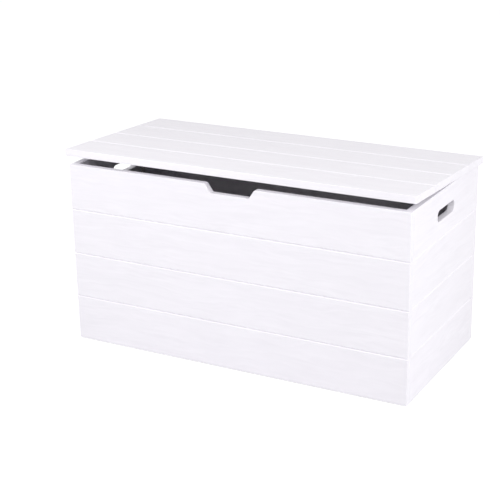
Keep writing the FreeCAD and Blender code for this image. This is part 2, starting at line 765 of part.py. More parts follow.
def stud_plate():
    """The plate on the side wall, with the stud that the arm's slot runs on."""
    half_width = STUD_PLATE_WIDTH / 2
    half_height = STUD_PLATE_HEIGHT / 2
    middle = STUD_PLACE + X_AXIS * PLATE_FACE_X
    corners = [
        middle + point(0, -half_width, -half_height),
        middle + point(0, half_width, -half_height),
        middle + point(0, half_width, half_height),
        middle + point(0, -half_width, half_height),
    ]
    plate = rounded_face(corners, [STUD_PLATE_CORNER_RADIUS] * len(corners))
    plate = plate.extrude(X_AXIS * STUD_PLATE_THICKNESS)
    journal_end = PLATE_FACE_X - WASHER_OUTER_X
    profile = [
        (0, 0),
        (STUD_SHOULDER_RADIUS, 0),
        (STUD_SHOULDER_RADIUS, STUD_SHOULDER_LENGTH),
        (STUD_RADIUS, STUD_SHOULDER_LENGTH),
        (STUD_RADIUS, journal_end),
        (STUD_THREAD_RADIUS, journal_end),
        (STUD_THREAD_RADIUS, journal_end + STUD_THREAD_LENGTH),
        (0, journal_end + STUD_THREAD_LENGTH),
    ]
    stud = aimed(turned(profile), middle, X_AXIS * -1)
    return bored(plate.fuse(stud), PLATE_SCREW, stud_plate_screw_places())


def stud_plate_screw_places():
    rise = Z_AXIS * (STUD_PLATE_HEIGHT * STAY_PLATE_SCREW_SHARE)
    middle = STUD_PLACE + X_AXIS * PLATE_FACE_X
    return [(middle + rise, X_AXIS), (middle - rise, X_AXIS)]


def friction_washer():
    bore = STUD_THREAD_RADIUS + THREAD_CLEARANCE
    profile = [(bore, 0), (WASHER_RADIUS, 0), (WASHER_RADIUS, WASHER_THICKNESS), (bore, WASHER_THICKNESS)]
    return aimed(turned(profile), STUD_PLACE + X_AXIS * WASHER_OUTER_X, X_AXIS * -1)


def cap_nut():
    """A domed nut over the end of the stud, which sets how hard the washer rubs on the arm."""
    corners = []
    for turn in range(0, 360, 60):
        x = NUT_RADIUS * math.cos(math.radians(turn))
        y = NUT_RADIUS * math.sin(math.radians(turn))
        corners.append(point(x, y, 0))
    hexagon = Part.Face(Part.makePolygon(corners + corners[:1])).extrude(Z_AXIS * NUT_HEX_LENGTH)
    dome = Part.makeSphere(NUT_DOME_RADIUS, Z_AXIS * NUT_HEX_LENGTH, Z_AXIS, 0, 90, 360)
    bore = Part.makeCylinder(
        STUD_THREAD_RADIUS + THREAD_CLEARANCE,
        STUD_THREAD_LENGTH - WASHER_THICKNESS + SCREW_TIP_CLEARANCE,
    )
    nut = hexagon.fuse(dome).cut(bore)
    return aimed(nut, STUD_PLACE + X_AXIS * WASHER_INNER_X, X_AXIS * -1)


def lid_bracket():
    """An angle under the shut lid: a flange for two screws and an ear for the arm's rivet."""
    middle = PIVOT_PLACE.y
    half = BRACKET_LENGTH / 2
    inner_x = EAR_OUTER_X - BRACKET_WIDTH
    foot = LID_UNDERSIDE - BRACKET_THICKNESS
    flange_corners = [
        point(EAR_OUTER_X, middle - half, foot),
        point(EAR_OUTER_X, middle + half, foot),
        point(inner_x, middle + half, foot),
        point(inner_x, middle - half, foot),
    ]
    flange = rounded_face(flange_corners, [0, 0, BRACKET_CORNER_RADIUS, BRACKET_CORNER_RADIUS])
    flange = flange.extrude(Z_AXIS * BRACKET_THICKNESS)
    ear_foot = PIVOT_PLACE.z - BRACKET_EAR_RADIUS
    ear_corners = [
        point(EAR_INNER_X, middle - half, foot),
        point(EAR_INNER_X, middle - BRACKET_EAR_RADIUS, ear_foot),
        point(EAR_INNER_X, middle + BRACKET_EAR_RADIUS, ear_foot),
        point(EAR_INNER_X, middle + half, foot),
    ]
    ear = rounded_face(ear_corners, [0, BRACKET_CORNER_RADIUS, BRACKET_CORNER_RADIUS, 0])
    ear = ear.extrude(X_AXIS * BRACKET_THICKNESS)
    hole = Part.makeCylinder(
        RIVET_RADIUS + RIVET_CLEARANCE,
        BRACKET_THICKNESS + 2 * OVERRUN,
        PIVOT_PLACE + X_AXIS * (EAR_INNER_X - OVERRUN),
        X_AXIS,
    )
    return bored(flange.fuse(ear).cut(hole), BRACKET_SCREW, bracket_screw_places())


def bracket_screw_places():
    x = EAR_INNER_X - (BRACKET_WIDTH - BRACKET_THICKNESS) / 2
    foot = LID_UNDERSIDE - BRACKET_THICKNESS
    reach = BRACKET_LENGTH * BRACKET_SCREW_SHARE
    return [(point(x, PIVOT_PLACE.y + side * reach, foot), Z_AXIS) for side in (-1, 1)]


def stay_rivet():
    """The rivet that the arm turns on, with a head behind the ear and one behind the arm."""
    grip = ARM_OUTER_X + STAY_SIDE_GAP - EAR_INNER_X
    profile = [
        (0, -RIVET_HEAD_LENGTH),
        (RIVET_HEAD_RADIUS - RIVET_HEAD_LENGTH / 2, -RIVET_HEAD_LENGTH),
        (RIVET_HEAD_RADIUS, -RIVET_HEAD_LENGTH / 2),
        (RIVET_HEAD_RADIUS, 0),
        (RIVET_RADIUS, 0),
        (RIVET_RADIUS, grip),
        (RIVET_HEAD_RADIUS, grip),
        (RIVET_HEAD_RADIUS, grip + RIVET_HEAD_LENGTH / 2),
        (RIVET_HEAD_RADIUS - RIVET_HEAD_LENGTH / 2, grip + RIVET_HEAD_LENGTH),
        (0, grip + RIVET_HEAD_LENGTH),
    ]
    return aimed(turned(profile), PIVOT_PLACE + X_AXIS * EAR_INNER_X, X_AXIS)


# The lid as it stands, ajar


def ajar(shape):
    """A piece of the shut lid, turned with the lid about the hinge line."""
    shape = shape.copy()
    shape.rotate(HINGE_POINT, X_AXIS, -LID_AJAR_ANGLE)
    return shape


def ajar_arm():
    """The stay's arm, which follows its pivot without turning."""
    arm = stay_arm()
    arm.translate(below_hinge(STAY_PIVOT_ANGLE - LID_AJAR_ANGLE) - PIVOT_PLACE)
    return arm


# The pieces by name


def on_both_sides(places):
    """Screw places on the right side of the chest, and the same on the left."""
    left = [(point(-at.x, at.y, at.z), point(-along.x, along.y, along.z)) for at, along in places]
    return places + left


def wall_nodes():
    """The wall boards, bored for the screws that end in them."""
    down = Z_AXIS * -1
    screw_rows = [
        (WALL_SCREW, post_screw_places()),
        (CLEAT_SCREW, cleat_screw_places()),
        (HINGE_SCREW, hinge_screw_places(WALL_TOP, down)),
        (PLATE_SCREW, on_both_sides(stud_plate_screw_places())),
    ]
    nodes = {}
    for index in range(WALL_BOARD_COUNT):
        front = front_board(index)
        back = front.copy()
        back.rotate(ORIGIN, Z_AXIS, 180)
        right = right_board(index)
        if index == WALL_BOARD_COUNT - 1:
            front = front.cut(finger_notch())
            back = back.cut([wall_mortise(x) for x in (-HINGE_OFFSET, HINGE_OFFSET)])
            right = with_hand_slot(right)
        walls = {"front": front, "back": back, "right": right, "left": mirrored(right)}
        for wall, shape in walls.items():
            for kind, places in screw_rows:
                shape = bored(shape, kind, places)
            nodes[f"{wall}_board_{index + 1}"] = shape
    return nodes


def frame_nodes():
    """Posts, cleats, floor and glides."""
    nodes = {}
    glides = []
    for name_y, side_y in (("front", -1), ("back", 1)):
        for name_x, side_x in (("left", -1), ("right", 1)):
            post = corner_post(side_x, side_y)
            nodes[f"corner_post_{name_y}_{name_x}"] = bored(post, WALL_SCREW, post_screw_places())
            glides.append(glide(side_x, side_y))
    cleats = {
        "front": long_cleat(-1),
        "back": long_cleat(1),
        "left": short_cleat(-1),
        "right": short_cleat(1),
    }
    for name, cleat in cleats.items():
        cleat = bored(cleat, CLEAT_SCREW, cleat_screw_places())
        nodes[f"floor_cleat_{name}"] = bored(cleat, FLOOR_SCREW, floor_screw_places())
    nodes["floor_panel"] = bored(floor_panel(), FLOOR_SCREW, floor_screw_places())
    nodes["floor_glides"] = Part.makeCompound(glides)
    nodes["post_screws"] = screws(WALL_SCREW, post_screw_places())
    nodes["cleat_screws"] = screws(CLEAT_SCREW, cleat_screw_places())
    nodes["floor_screws"] = screws(FLOOR_SCREW, floor_screw_places())
    return nodes


def lid_nodes():
    """Lid boards and battens, turned with the lid."""
    screw_rows = [
        (BATTEN_SCREW, batten_screw_places()),
        (HINGE_SCREW, hinge_screw_places(LID_UNDERSIDE, Z_AXIS)),
        (BRACKET_SCREW, on_both_sides(bracket_screw_places())),
    ]
    nodes = {}
    for index in range(LID_BOARD_COUNT):
        shape = lid_board(index)
        if index == LID_BOARD_COUNT - 1:
            shape = shape.cut([lid_mortise(x) for x in (-HINGE_OFFSET, HINGE_OFFSET)])
        for kind, places in screw_rows:
            shape = bored(shape, kind, places)
        nodes[f"lid_board_{index + 1}"] = ajar(shape)
    for name, step in (("left", -1), ("middle", 0), ("right", 1)):
        batten = bored(lid_batten(step * BATTEN_SPACING), BATTEN_SCREW, batten_screw_places())
        nodes[f"lid_batten_{name}"] = ajar(batten)
    nodes["batten_screws"] = ajar(screws(BATTEN_SCREW, batten_screw_places()))
    return nodes


def hinge_nodes():
    down = Z_AXIS * -1
    wall_places = hinge_screw_places(WALL_TOP, down)
    lid_places = hinge_screw_places(LID_UNDERSIDE, Z_AXIS)
    nodes = {}
    for name, x in (("left", -HINGE_OFFSET), ("right", HINGE_OFFSET)):
        nodes[f"hinge_{name}_wall_leaf"] = bored(wall_leaf(x), HINGE_SCREW, wall_places)
        nodes[f"hinge_{name}_lid_leaf"] = ajar(bored(lid_leaf(x), HINGE_SCREW, lid_places))
        nodes[f"hinge_{name}_pin"] = hinge_pin(x)
    nodes["hinge_wall_screws"] = screws(HINGE_SCREW, wall_places)
    nodes["hinge_lid_screws"] = ajar(screws(HINGE_SCREW, lid_places))
    return nodes


def stay_nodes():
    right = {
        "arm": ajar_arm(),
        "stud_plate": stud_plate(),
        "washer": friction_washer(),
        "cap_nut": cap_nut(),
        "lid_bracket": ajar(lid_bracket()),
        "rivet": ajar(stay_rivet()),
    }
    nodes = {}
    for name, shape in right.items():
        nodes[f"stay_right_{name}"] = shape
        nodes[f"stay_left_{name}"] = mirrored(shape)
    nodes["stay_wall_screws"] = screws(PLATE_SCREW, on_both_sides(stud_plate_screw_places()))
    nodes["stay_lid_screws"] = ajar(screws(BRACKET_SCREW, on_both_sides(bracket_screw_places())))
    return nodes


def main():
    os.makedirs("parts", exist_ok=True)
    nodes = {}
    for group in (wall_nodes, frame_nodes, lid_nodes, hinge_nodes, stay_nodes):
        nodes.update(group())
    for name, shape in nodes.items():
        if not shape.isValid():
            raise ValueError(name + " is not a valid shape")
        shape.exportStep(f"parts/{name}.step")
    print(len(nodes), "pieces")


main()
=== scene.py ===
import json
import math

import bmesh
import bpy
from mathutils import Matrix, Vector

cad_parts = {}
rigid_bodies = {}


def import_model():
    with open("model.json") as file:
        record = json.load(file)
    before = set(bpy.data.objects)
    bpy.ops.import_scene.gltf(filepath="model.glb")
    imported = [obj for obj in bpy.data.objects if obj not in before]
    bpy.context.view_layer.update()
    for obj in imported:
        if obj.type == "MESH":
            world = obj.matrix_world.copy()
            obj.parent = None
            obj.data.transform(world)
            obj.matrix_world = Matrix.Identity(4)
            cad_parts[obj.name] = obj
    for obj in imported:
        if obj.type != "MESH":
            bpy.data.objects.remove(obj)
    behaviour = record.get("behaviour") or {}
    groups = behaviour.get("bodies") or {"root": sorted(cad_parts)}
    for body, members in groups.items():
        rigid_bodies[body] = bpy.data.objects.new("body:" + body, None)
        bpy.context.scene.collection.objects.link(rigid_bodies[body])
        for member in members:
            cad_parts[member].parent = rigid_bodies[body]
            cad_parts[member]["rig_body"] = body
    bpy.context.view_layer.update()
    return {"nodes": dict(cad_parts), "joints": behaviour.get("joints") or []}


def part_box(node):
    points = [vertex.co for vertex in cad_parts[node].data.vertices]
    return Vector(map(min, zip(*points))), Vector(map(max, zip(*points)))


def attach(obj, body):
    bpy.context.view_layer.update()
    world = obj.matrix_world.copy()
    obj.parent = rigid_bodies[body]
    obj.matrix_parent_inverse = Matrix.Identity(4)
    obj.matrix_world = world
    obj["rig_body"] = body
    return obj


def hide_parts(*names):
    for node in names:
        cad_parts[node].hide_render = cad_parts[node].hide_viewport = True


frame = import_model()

bl_info = {
    "name": "Plank chest",
    "version": (1, 0, 0),
    "blender": (4, 5, 0),
    "location": "View3D > Sidebar > Chest",
    "description": "Builds a plank chest's painted boards, finishes its frame and hardware, and lights it",
    "category": "Object",
}

# The hinge line, and how far the lid stands ajar, from the frame's joint
LID_HINGE = next(joint for joint in frame["joints"] if joint["name"] == "lid_hinge")
HINGE_POINT = Vector(LID_HINGE["pos_m"])
HINGE_AXIS = Vector(LID_HINGE["axis"])
AJAR_ANGLE = -math.radians(LID_HINGE["range_deg"][0])


def about_hinge(angle):
    """The turn of the lid about its hinge line."""
    there = Matrix.Translation(HINGE_POINT)
    return there @ Matrix.Rotation(angle, 4, HINGE_AXIS) @ there.inverted()


def shut_box(node):
    """Lowest and highest corner of one of the lid's nodes with the lid shut."""
    shut = about_hinge(-AJAR_ANGLE)
    places = [shut @ vertex.co for vertex in frame["nodes"][node].data.vertices]
    return Vector(map(min, zip(*places))), Vector(map(max, zip(*places)))


# Boards as they stand in the frame
ROWS = (1, 2, 3, 4)
WALL_TURNS = {"front": 0.0, "right": math.pi / 2, "back": math.pi, "left": -math.pi / 2}
FRONT_LOW, FRONT_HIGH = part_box("front_board_1")
RIGHT_LOW, RIGHT_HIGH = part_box("right_board_1")
WALL_FOOT = FRONT_LOW.z
WALL_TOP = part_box("front_board_4")[1].z
WALL_FACE = (WALL_TOP - WALL_FOOT) / len(ROWS)
BOARD_THICKNESS = FRONT_HIGH.y - FRONT_LOW.y
TONGUE_LENGTH = FRONT_HIGH.z - WALL_FOOT - WALL_FACE
WALL_LENGTHS = {
    "front": FRONT_HIGH.x - FRONT_LOW.x,
    "back": FRONT_HIGH.x - FRONT_LOW.x,
    "right": RIGHT_HIGH.y - RIGHT_LOW.y,
    "left": RIGHT_HIGH.y - RIGHT_LOW.y,
}
WALL_OFFSETS = {"front": -FRONT_LOW.y, "back": -FRONT_LOW.y, "right": RIGHT_HIGH.x, "left": RIGHT_HIGH.x}
LID_LOW = shut_box("lid_board_1")[0]
LID_HIGH = shut_box("lid_board_4")[1]
LID_FACE = (LID_HIGH.y - LID_LOW.y) / len(ROWS)
LID_THICKNESS = LID_HIGH.z - LID_LOW.z
LID_LENGTH = LID_HIGH.x - LID_LOW.x


# Sizes and colours that a user may change


class ChestBoards(bpy.types.PropertyGroup):
    """Sizes of the boards and of the cuts in them."""

    vee_depth: bpy.props.FloatProperty(
        name="V depth", description="Depth of the V between two boards", unit="LENGTH", default=0.0025,
    )
    tongue_thickness: bpy.props.FloatProperty(
        name="Tongue", description="Thickness of a tongue", unit="LENGTH", default=0.006,
    )
    tongue_clearance: bpy.props.FloatProperty(
        name="Tongue play", description="Play beside a tongue", unit="LENGTH", default=0.0002,
    )
    tongue_tip_clearance: bpy.props.FloatProperty(
        name="Tip play", description="Play before a tongue's tip", unit="LENGTH", default=0.0006,
    )
    arris: bpy.props.FloatProperty(
        name="Arris", description="How far the boards' edges are eased", unit="LENGTH", default=0.0015,
    )
    seam_arris: bpy.props.FloatProperty(
        name="Seam arris", description="How far the edges of a V are eased", unit="LENGTH", default=0.0005,
    )
    side_arris: bpy.props.FloatProperty(
        name="Side arris", description="How far the side boards' edges are eased", unit="LENGTH",
        default=0.0008,
    )
    batten_arris: bpy.props.FloatProperty(
        name="Batten arris", description="How far the battens' edges are eased", unit="LENGTH",
        default=0.001,
    )
    rim_arris: bpy.props.FloatProperty(
        name="Slot rim", description="How far a hand slot's rims are eased", unit="LENGTH", default=0.002,
    )
    lid_corner: bpy.props.FloatProperty(
        name="Lid corner", description="Rounding of the lid's four corners", unit="LENGTH", default=0.003,
    )
    notch_top: bpy.props.FloatProperty(
        name="Notch mouth", description="Finger notch's width at its mouth", unit="LENGTH", default=0.132,
    )
    notch_foot: bpy.props.FloatProperty(
        name="Notch foot", description="Finger notch's width at its foot", unit="LENGTH", default=0.102,
    )
    notch_depth: bpy.props.FloatProperty(
        name="Notch depth", description="Depth of the finger notch", unit="LENGTH", default=0.022,
    )
    notch_mouth_radius: bpy.props.FloatProperty(
        name="Mouth turn", description="Rounding of the notch's mouth", unit="LENGTH", default=0.006,
    )
    notch_foot_radius: bpy.props.FloatProperty(
        name="Foot turn", description="Rounding of the notch's foot", unit="LENGTH", default=0.005,
    )
    slot_length: bpy.props.FloatProperty(
        name="Slot length", description="Length of a hand slot", unit="LENGTH", default=0.108,
    )
    slot_height: bpy.props.FloatProperty(
        name="Slot height", description="Height of a hand slot", unit="LENGTH", default=0.027,
    )
    slot_drop: bpy.props.FloatProperty(
        name="Slot drop", description="From the wall's top to the slot's middle", unit="LENGTH",
        default=0.059,
    )
    slot_corner: bpy.props.FloatProperty(
        name="Slot corner", description="Rounding of a hand slot's corners", unit="LENGTH", default=0.0115,
    )
    leaf_thickness: bpy.props.FloatProperty(
        name="Leaf", description="Thickness of a hinge leaf", unit="LENGTH", default=0.0018,
    )
    mortise_play: bpy.props.FloatProperty(
        name="Mortise play", description="Play round a hinge leaf", unit="LENGTH", default=0.0002,
    )


class ChestFinish(bpy.types.PropertyGroup):
    """Colours and surface detail of the chest."""

    paint_colour: bpy.props.FloatVectorProperty(
        name="Paint", description="White paint on the boards", subtype="COLOR", size=4, min=0, max=1,
        default=(0.905, 0.883, 0.932, 1),
    )
    paint_shade_colour: bpy.props.FloatVectorProperty(
        name="Paint over grain", description="Paint where hard grain shows through", subtype="COLOR", size=4,
        min=0, max=1, default=(0.862, 0.840, 0.889, 1),
    )
    hinge_colour: bpy.props.FloatVectorProperty(
        name="Hinge plating", description="Zinc plate on the hinges", subtype="COLOR", size=4, min=0, max=1,
        default=(0.62, 0.62, 0.63, 1),
    )
    stay_colour: bpy.props.FloatVectorProperty(
        name="Stay plating", description="Nickel plate on the stays", subtype="COLOR", size=4, min=0, max=1,
        default=(0.70, 0.68, 0.64, 1),
    )
    screw_colour: bpy.props.FloatVectorProperty(
        name="Screw plating", description="Zinc plate on the screws", subtype="COLOR", size=4, min=0, max=1,
        default=(0.55, 0.55, 0.56, 1),
    )
    glide_colour: bpy.props.FloatVectorProperty(
        name="Glides", description="Plastic of the floor glides", subtype="COLOR", size=4, min=0, max=1,
        default=(0.80, 0.79, 0.76, 1),
    )
    grain_relief: bpy.props.FloatProperty(
        name="Grain relief", description="Height of the grain under the paint", unit="LENGTH",
        default=0.00019,
    )
    roller_relief: bpy.props.FloatProperty(
        name="Roller relief", description="Height of the roller's marks on the floor panel", unit="LENGTH",
        default=0.00008,
    )


class ChestStudio(bpy.types.PropertyGroup):
    """Floor and light."""

    floor_radius: bpy.props.FloatProperty(
        name="Floor radius", description="Reach of the floor", unit="LENGTH", default=14.0,
    )
    floor_colour: bpy.props.FloatVectorProperty(
        name="Floor", description="Pale floor", subtype="COLOR", size=4, min=0, max=1,
        default=(0.66, 0.66, 0.67, 1),
    )
    floor_lift: bpy.props.FloatProperty(
        name="Floor lift", description="How much the floor glows to the camera, towards white", default=0.63,
    )
    sky_strength: bpy.props.FloatProperty(
        name="Sky", description="Strength of the even light from all round", default=0.58,
    )
    right_size: bpy.props.FloatProperty(
        name="Right size", description="Side of the soft lamp on the right", unit="LENGTH", default=2.0,
    )
    right_power: bpy.props.FloatProperty(
        name="Right lamp", description="Power of the soft lamp on the right", unit="POWER", default=63.0,
    )
    front_size: bpy.props.FloatProperty(
        name="Front size", description="Side of the soft lamp in front", unit="LENGTH", default=1.4,
    )
    front_power: bpy.props.FloatProperty(
        name="Front lamp", description="Power of the soft lamp in front", unit="POWER", default=16.8,
    )
    fill_size: bpy.props.FloatProperty(
        name="Fill size", description="Side of the two low lamps that light the far walls", unit="LENGTH",
        default=0.36,
    )
    fill_power: bpy.props.FloatProperty(
        name="Fill lamps", description="Power of each low lamp that lights the far walls", unit="POWER",
        default=18.0,
    )


# Shapes


SIDEWAYS = Vector((1, 0, 0))
# Edges that turn by more than this are arrises
SHARP_ANGLE = math.radians(35)
# Faces that turn by less than this are one face
FLAT_ANGLE = math.radians(0.5)
# A face whose normal has at least this share along an axis looks along it
ALIGNED_SHARE = 0.999
ARRIS_SEGMENTS = 3
CORNER_SEGMENTS = 5
# How far a cutter runs past what it cuts
OVERRUN = 0.005
# Points nearer than this are one point
WELD = 0.00001


def section_corners(sizes, face, thickness, has_groove, has_tongue):
    """Corners of a board's section, each as its place across the thickness and across the face."""
    vee = sizes.vee_depth
    tongue_start = (thickness + vee - sizes.tongue_thickness) / 2
    tongue_end = tongue_start + sizes.tongue_thickness
    groove_start = tongue_start - sizes.tongue_clearance
    groove_end = tongue_end + sizes.tongue_clearance
    groove_depth = TONGUE_LENGTH + sizes.tongue_tip_clearance
    tip = face + TONGUE_LENGTH
    foot = [(0, 0), (thickness, 0)]
    if has_groove:
        foot = [
            (0, vee),
            (vee, 0),
            (groove_start, 0),
            (groove_start, groove_depth),
            (groove_end, groove_depth),
            (groove_end, 0),
            (thickness, 0),
        ]
    top = [(thickness, face), (0, face)]
    if has_tongue:
        top = [
            (thickness, face),
            (tongue_end, face),
            (tongue_end, tip),
            (tongue_start, tip),
            (tongue_start, face),
            (vee, face),
            (0, face - vee),
        ]
    return foot + top


def extruded(corners, way, reaches=()):
    """A flat outline drawn out along a way. Each of its corners is rounded off by its own reach."""
    shape = bmesh.new()
    vertices = [shape.verts.new(corner) for corner in corners]
    shape.faces.new(vertices)
    for reach in sorted(set(reaches) - {0}):
        chosen = [vertex for vertex, own in zip(vertices, reaches) if own == reach]
        bmesh.ops.bevel(
            shape, geom=chosen, affect="VERTICES", offset=reach, segments=CORNER_SEGMENTS, profile=0.5,
            material=-1,
        )
    drawn = bmesh.ops.extrude_face_region(shape, geom=shape.faces[:])["geom"]
    moved = [element for element in drawn if isinstance(element, bmesh.types.BMVert)]
    bmesh.ops.translate(shape, verts=moved, vec=way)
    bmesh.ops.recalc_face_normals(shape, faces=shape.faces)
    return shape


def planed_board(sizes, length, face, thickness, row):
    """One board of a row of boards, along X: show face at Y 0, thickness along Y, face width along Z."""
    corners = section_corners(sizes, face, thickness, row > ROWS[0], row < ROWS[-1])
    return extruded([(-length / 2, y, z) for y, z in corners], (length, 0, 0))


def ease(shape, edges, offset, segments):
    """Rounds edges off by an offset along the faces beside them."""
    bmesh.ops.bevel(
        shape, geom=edges, affect="EDGES", offset=offset, segments=segments, profile=0.5, material=-1,
        clamp_overlap=True,
    )


def middle(edge):
    """The point halfway along an edge."""
    return (edge.verts[0].co + edge.verts[1].co) / 2


def ease_arrises(shape, sizes, face, thickness, row, arris):
    """Eases a board's arrises, those along its seams by less and those inside its joints not at all."""
    play = sizes.tongue_clearance
    has_groove = row > ROWS[0]
    has_tongue = row < ROWS[-1]
    groove_top = TONGUE_LENGTH + sizes.tongue_tip_clearance + play if has_groove else -play
    tongue_foot = face - play if has_tongue else face + play
    low_seam = sizes.vee_depth + play if has_groove else -play
    high_seam = face - sizes.vee_depth - play if has_tongue else face + play

    def is_sharp(edge):
        return edge.is_manifold and edge.calc_face_angle() > SHARP_ANGLE

    def in_joint(edge):
        return middle(edge).y > play and not groove_top < middle(edge).z < tongue_foot

    def on_seam(edge):
        return middle(edge).y < play and not low_seam < middle(edge).z < high_seam

    def behind_seam(edge):
        return middle(edge).y > thickness - play and not groove_top < middle(edge).z < tongue_foot

    shown = [edge for edge in shape.edges if is_sharp(edge) and not in_joint(edge) and not on_seam(edge)]
    ease(shape, shown, arris, ARRIS_SEGMENTS)
    long_edges = [edge for edge in shape.edges if is_sharp(edge) and edge.calc_length() > face]
    seams = [edge for edge in long_edges if on_seam(edge) or behind_seam(edge)]
    ease(shape, seams, sizes.seam_arris, ARRIS_SEGMENTS)


def eased_batten(node, arris):
    """A copy of a batten's CAD node, with the rims of its two side faces eased."""
    shape = bmesh.new()
    shape.from_mesh(frame["nodes"][node].data)
    bmesh.ops.remove_doubles(shape, verts=shape.verts, dist=WELD)
    bmesh.ops.dissolve_limit(shape, angle_limit=FLAT_ANGLE, verts=shape.verts, edges=shape.edges)

    def on_rim(edge):
        beside = any(abs(face.normal.dot(SIDEWAYS)) > ALIGNED_SHARE for face in edge.link_faces)
        return beside and edge.is_manifold and edge.calc_face_angle() > SHARP_ANGLE

    ease(shape, [edge for edge in shape.edges if on_rim(edge)], arris, ARRIS_SEGMENTS)
    return shape


def carve(shape, cutter):
    """Takes a cutter out of a shape, and returns what is left."""
    pair = [bpy.data.objects.new(name, bpy.data.meshes.new(name)) for name in ("blank", "cutter")]
    for holder, solid in zip(pair, (shape, cutter)):
        solid.to_mesh(holder.data)
        solid.free()
        bpy.context.collection.objects.link(holder)
    blank, knife = pair
    cut = blank.modifiers.new("cut", "BOOLEAN")
    cut.object = knife
    cut.operation = "DIFFERENCE"
    cut.solver = "EXACT"
    left = bmesh.new()
    left.from_object(blank, bpy.context.evaluated_depsgraph_get())
    for holder in pair:
        bpy.data.meshes.remove(holder.data)
    return left


def corner_reach(radius, turn):
    """How far a rounding of a radius reaches along each side of a corner that turns by an angle."""
    return radius * math.tan(turn / 2)


def finger_notch(sizes):
    """The cutter for the front's top board: wider at its mouth, with the mouth and the foot turned round."""
    half_top = sizes.notch_top / 2
    half_foot = sizes.notch_foot / 2
    turn = math.atan2(sizes.notch_depth, half_top - half_foot)
    mouth_reach = corner_reach(sizes.notch_mouth_radius, turn)
    foot_reach = corner_reach(sizes.notch_foot_radius, turn)
    half_mouth = half_top + 2 * mouth_reach
    left_half = [
        (-half_mouth, WALL_FACE + OVERRUN, 0),
        (-half_mouth, WALL_FACE, 0),
        (-half_top, WALL_FACE, mouth_reach),
        (-half_foot, WALL_FACE - sizes.notch_depth, foot_reach),
    ]
    right_half = [(-x, z, reach) for x, z, reach in reversed(left_half)]
    outline = left_half + right_half
    corners = [(x, -OVERRUN, z) for x, z, _ in outline]
    return extruded(corners, (0, BOARD_THICKNESS + 2 * OVERRUN, 0), [reach for _, _, reach in outline])


def hand_slot(sizes):
    """The cutter for the top board of a side."""
    half = sizes.slot_length / 2
    centre = WALL_FACE - sizes.slot_drop
    low = centre - sizes.slot_height / 2
    high = centre + sizes.slot_height / 2
    outline = [(-half, low), (half, low), (half, high), (-half, high)]
    corners = [(x, -OVERRUN, z) for x, z in outline]
    return extruded(corners, (0, BOARD_THICKNESS + 2 * OVERRUN, 0), [sizes.slot_corner] * len(corners))


def ease_slot_rims(shape, sizes):
    """Eases the two rims of a hand slot."""
    play = sizes.tongue_clearance
    centre = WALL_FACE - sizes.slot_drop

    def at_slot(vertex):
        along = abs(vertex.co.x) < sizes.slot_length / 2 + play
        across = abs(vertex.co.z - centre) < sizes.slot_height / 2 + play
        deep = play < vertex.co.y < BOARD_THICKNESS - play
        return along and across and not deep

    def on_rim(edge):
        level = abs(edge.verts[0].co.y - edge.verts[1].co.y) < play
        return level and all(map(at_slot, edge.verts)) and edge.calc_face_angle() > SHARP_ANGLE

    ease(shape, [edge for edge in shape.edges if on_rim(edge)], sizes.rim_arris, ARRIS_SEGMENTS)


def leaf_mortise(sizes, low, high, foot, top):
    """A cutter for a hinge leaf that lies between two corners, from a foot to a top and open to the back."""
    left = low.x - sizes.mortise_play
    right = high.x + sizes.mortise_play
    front = low.y - sizes.mortise_play
    back = high.y + OVERRUN
    corners = [(left, front, foot), (right, front, foot), (right, back, foot), (left, back, foot)]
    return extruded(corners, (0, 0, top - foot))


def add_piece(name, shape, material, node):
    """Makes a piece that stands for a CAD node and rides on its body."""
    bmesh.ops.remove_doubles(shape, verts=shape.verts, dist=WELD)
    mesh = bpy.data.meshes.new(name)
    shape.to_mesh(mesh)
    shape.free()
    mesh.materials.append(material)
    mesh.shade_smooth()
    mesh.set_sharp_from_angle(angle=SHARP_ANGLE)
    piece = bpy.data.objects.new(name, mesh)
    bpy.context.collection.objects.link(piece)
    even = piece.modifiers.new("even_normals", "WEIGHTED_NORMAL")
    even.keep_sharp = True
    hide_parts(node)
    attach(piece, frame["nodes"][node]["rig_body"])


# Materials


# The stretch of a noise over which one tone turns into the other
TONE_SPAN = (0.34, 0.66)
COARSE_DETAIL = 2.0
FINE_DETAIL = 3.0


def new_material(name):
    """An empty node material with its shader, as (material, tree, shader)."""
    material = bpy.data.materials.new(name)
    material.use_nodes = True
    tree = material.node_tree
    return material, tree, tree.nodes["Principled BSDF"]


def add(tree, kind, links=None, **settings):
    """Adds a node. Links hold a value or a socket for each of its inputs, by name or number."""
    node = tree.nodes.new(kind)
    for name, value in settings.items():
        setattr(node, name, value)
    for name, value in (links or {}).items():
        if isinstance(value, bpy.types.NodeSocket):
            tree.links.new(value, node.inputs[name])
        else:
            node.inputs[name].default_value = value
    return node


def math_node(tree, operation, one, two):
    """The result of a sum on two sockets or values."""
    return add(tree, "ShaderNodeMath", {0: one, 1: two}, operation=operation).outputs[0]


def weighed(tree, shares):
    """A sum of sockets, each times its share."""
    total = None
    for socket, share in shares:
        part = math_node(tree, "MULTIPLY", socket, share)
        total = part if total is None else math_node(tree, "ADD", total, part)
    return total


def ramp(tree, factor, low, high):
    """Two colours along the middle stretch of a factor."""
    node = add(tree, "ShaderNodeValToRGB", {0: factor})
    for element, place, colour in zip(node.color_ramp.elements, TONE_SPAN, (low, high)):
        element.position = place
        element.color = colour
    return node.outputs[0]


def carried(tree, factor, span, start=(0, 1)):
    """A factor carried from a start span to another span, and held at its ends."""
    links = {0: factor, 1: start[0], 2: start[1], 3: span[0], 4: span[1]}
    return add(tree, "ShaderNodeMapRange", links).outputs[0]


def rough(tree, shader, factor, span):
    """Lets a factor vary the gloss over a span of roughness."""
    tree.links.new(carried(tree, factor, span), shader.inputs["Roughness"])


